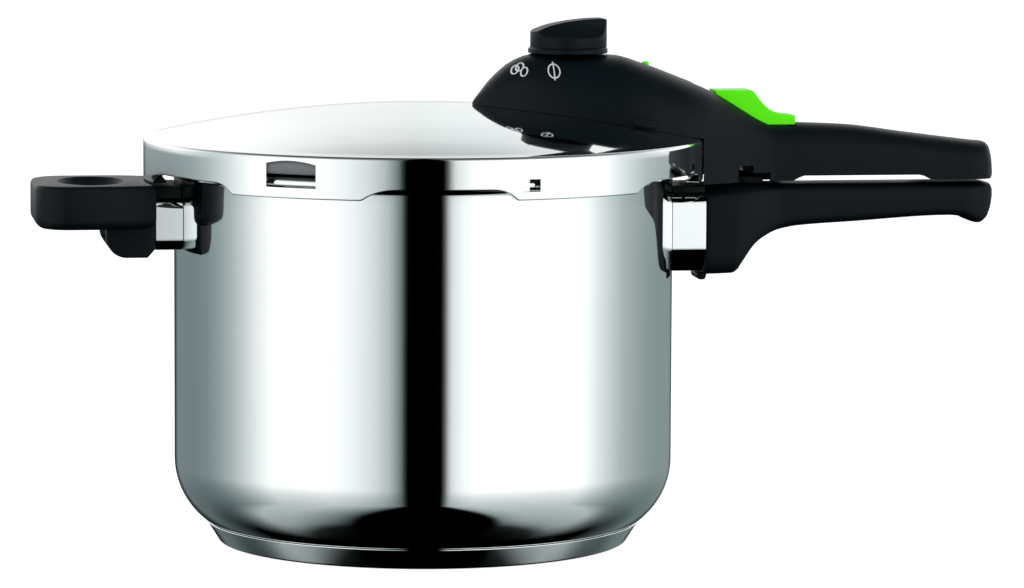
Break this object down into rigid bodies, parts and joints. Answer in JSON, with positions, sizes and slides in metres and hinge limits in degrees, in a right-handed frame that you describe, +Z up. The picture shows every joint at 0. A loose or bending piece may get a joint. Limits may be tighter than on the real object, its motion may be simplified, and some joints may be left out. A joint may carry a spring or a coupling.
{
  "type": "stovetop pressure cooker",
  "caption": "Deep steel pressure cooker with a bayonet lid, a long two-part side handle, a short helper handle, a turning pressure selector and a thumb-slide lid lock.",
  "frame": {"origin": "centre of the base's resting face", "axes": "+X along the long handle away from the pot, +Z up, +Y to the left of someone looking along the handle"},
  "size_m": [0.4306, 0.248, 0.2317],
  "materials": {
    "polished_steel": "mirror-polished stainless steel",
    "satin_steel": "satin stainless steel of brackets, nuts, screws and springs",
    "aluminium_core": "bare aluminium heat spreader",
    "black_handle_plastic": "satin black moulded phenolic plastic with a very fine grain",
    "green_plastic": "bright lime green semi-gloss plastic",
    "grey_silicone": "grey silicone rubber",
    "valve_brass": "turned brass, satin"
  },
  "bodies": {
    "pot": {"pot_body": "polished_steel", "base_core": "aluminium_core", "base_cap": "polished_steel", "pot_handle_bracket": "satin_steel", "pot_flame_guard": "polished_steel", "pot_handle": "black_handle_plastic", "pot_handle_screw": "satin_steel", "lock_keeper": "black_handle_plastic", "helper_handle_bracket": "satin_steel", "helper_flame_guard": "polished_steel", "helper_handle": "black_handle_plastic", "helper_handle_screw": "satin_steel"},
    "lid": {"lid_shell": "polished_steel", "lid_gasket": "grey_silicone", "lid_bracket": "satin_steel", "lid_handle_shell": "black_handle_plastic", "lid_handle_base": "black_handle_plastic", "lid_handle_screw_front": "satin_steel", "lid_handle_screw_rear": "satin_steel", "valve_body": "valve_brass", "valve_nut": "satin_steel", "valve_seal": "grey_silicone", "valve_cap": "valve_brass", "valve_spring": "satin_steel", "indicator_bush": "satin_steel", "indicator_clip": "satin_steel", "safety_valve_body": "valve_brass", "safety_valve_nut": "satin_steel", "safety_valve_cap": "satin_steel", "safety_valve_spring": "satin_steel", "lock_spring": "satin_steel"},
    "dial": {"dial_grip": "black_handle_plastic", "dial_collar": "black_handle_plastic", "dial_retainer": "satin_steel"},
    "plunger": {"valve_plunger": "satin_steel"},
    "indicator": {"indicator_stem": "satin_steel", "indicator_cap": "green_plastic"},
    "slider": {"lock_slider": "green_plastic"},
    "bolt": {"lock_bolt": "satin_steel"},
    "relief_pin": {"safety_valve_pin": "satin_steel"}
  },
  "joints": [
    {"name": "lid_turn", "type": "hinge", "parent": "pot", "child": "lid", "pos_m": [0, 0, 0.18], "axis": [0, 0, 1], "range_deg": [0, 30]},
    {"name": "dial_turn", "type": "hinge", "parent": "lid", "child": "dial", "pos_m": [0.0645, 0, 0.22], "axis": [0, 0, 1], "range_deg": [-45, 75]},
    {"name": "valve_lift", "type": "slide", "parent": "lid", "child": "plunger", "axis": [0, 0, 1], "range_m": [0, 0.0015], "stiffness_N_per_m": 300, "springref_m": -0.003, "deforming": ["valve_spring"]},
    {"name": "indicator_rise", "type": "slide", "parent": "lid", "child": "indicator", "axis": [0, 0, 1], "range_m": [0, 0.004]},
    {"name": "lock_slide", "type": "slide", "parent": "lid", "child": "slider", "axis": [-1, 0, 0], "range_m": [0, 0.008]},
    {"name": "lock_drop", "type": "slide", "parent": "lid", "child": "bolt", "axis": [0, 0, -1], "range_m": [0, 0.004], "stiffness_N_per_m": 200, "springref_m": -0.002, "deforming": ["lock_spring"]},
    {"name": "safety_lift", "type": "slide", "parent": "lid", "child": "relief_pin", "axis": [0, 0, 1], "range_m": [0, 0.0015], "stiffness_N_per_m": 500, "springref_m": -0.003, "deforming": ["safety_valve_spring"]}
  ],
  "couplings": [
    {"joint": "lock_drop", "follows": "lock_slide", "ratio": 0.5}
  ]
}
